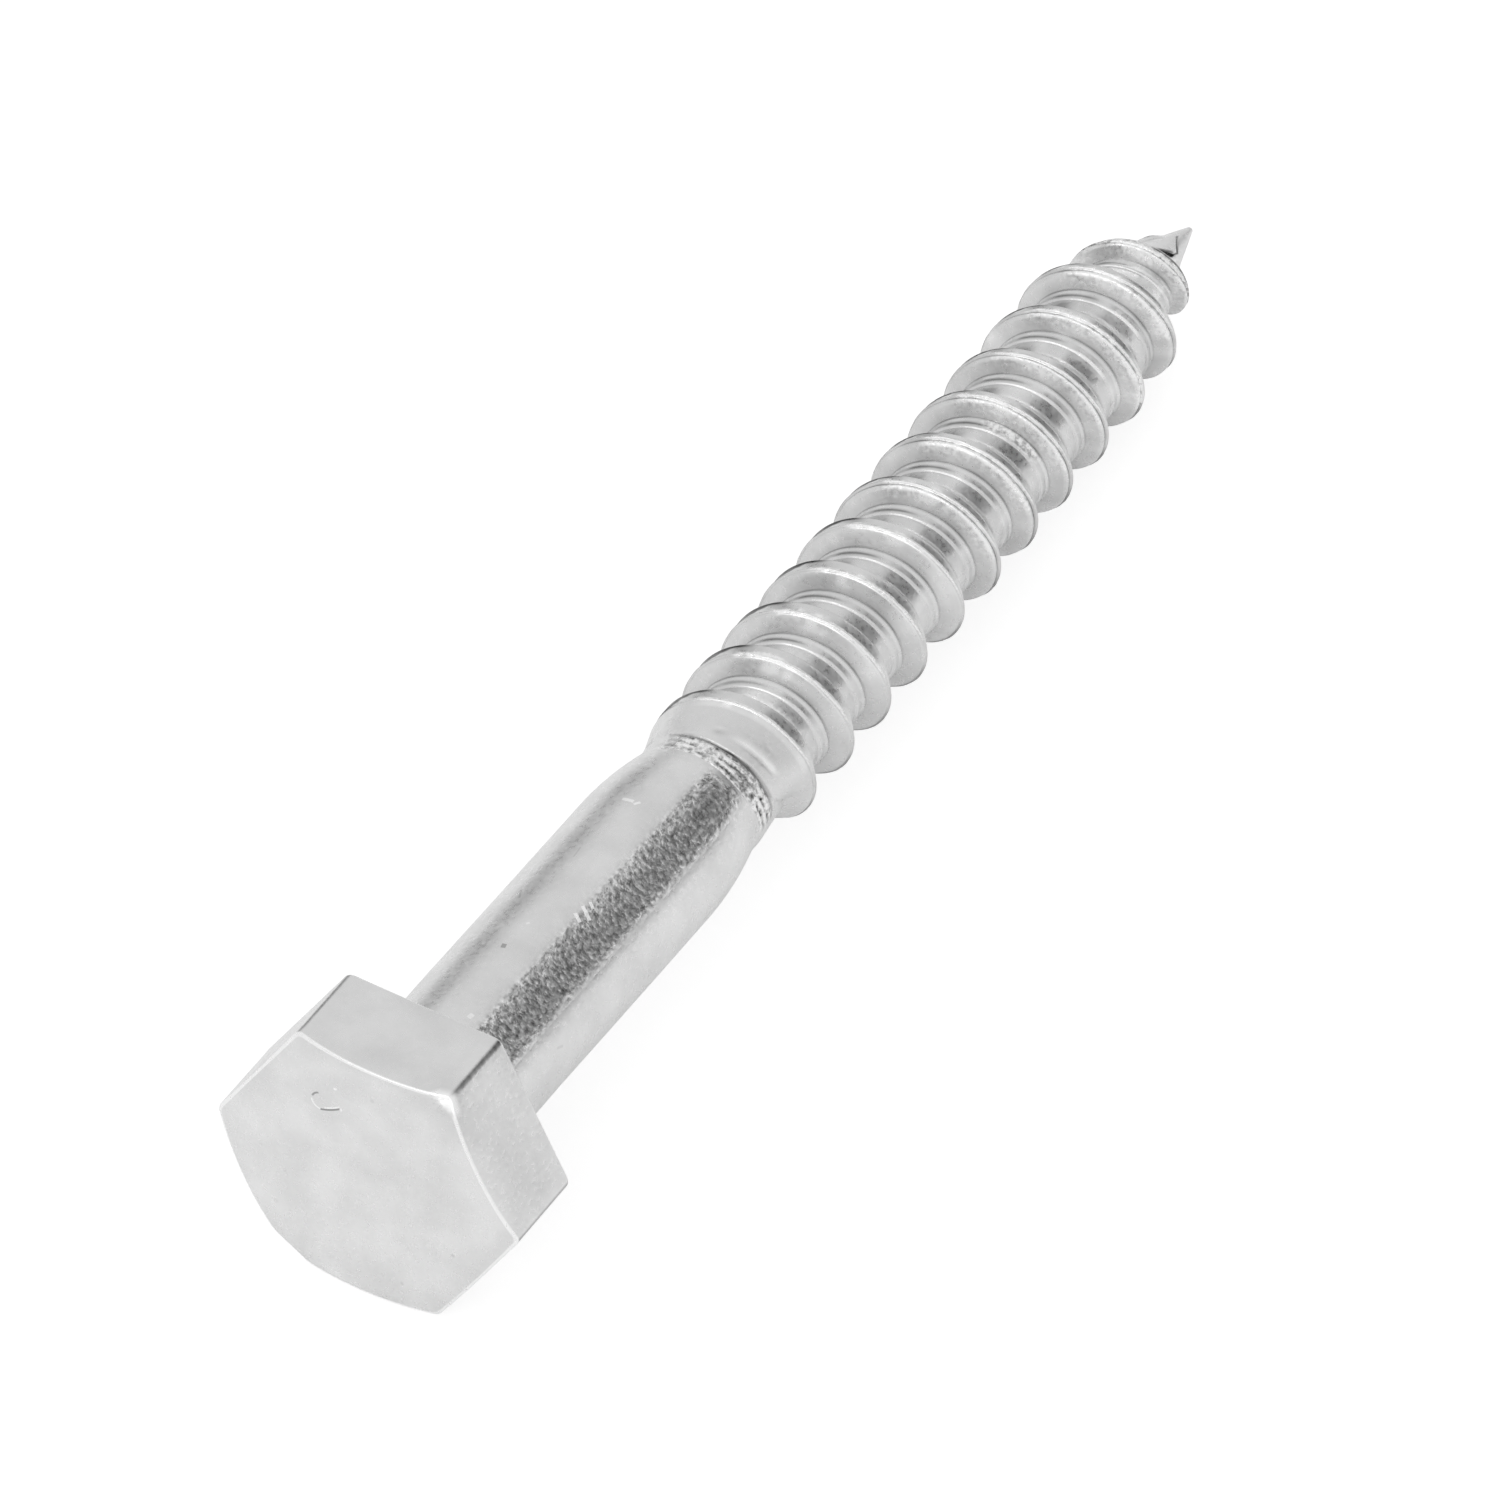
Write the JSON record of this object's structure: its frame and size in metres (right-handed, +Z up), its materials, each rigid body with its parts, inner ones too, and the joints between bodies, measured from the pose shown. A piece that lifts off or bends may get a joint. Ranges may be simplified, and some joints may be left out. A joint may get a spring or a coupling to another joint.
{
  "type": "lag screw",
  "caption": "Hexagon head wood screw with a smooth shank, a coarse rolled thread and a gimlet point.",
  "frame": {"origin": "on the surface that the screw lies on, under the middle of its box", "axes": "+X along the screw towards its point, whose axis dips 2.6 degrees below X; +Y to its left; +Z up"},
  "size_m": [0.0968, 0.0194, 0.0173],
  "materials": {
    "zinc_plated_steel": "bright zinc plating, satin, with an orange-peel grain"
  },
  "bodies": {
    "root": {"lag_screw": "zinc_plated_steel"}
  },
  "joints": []
}
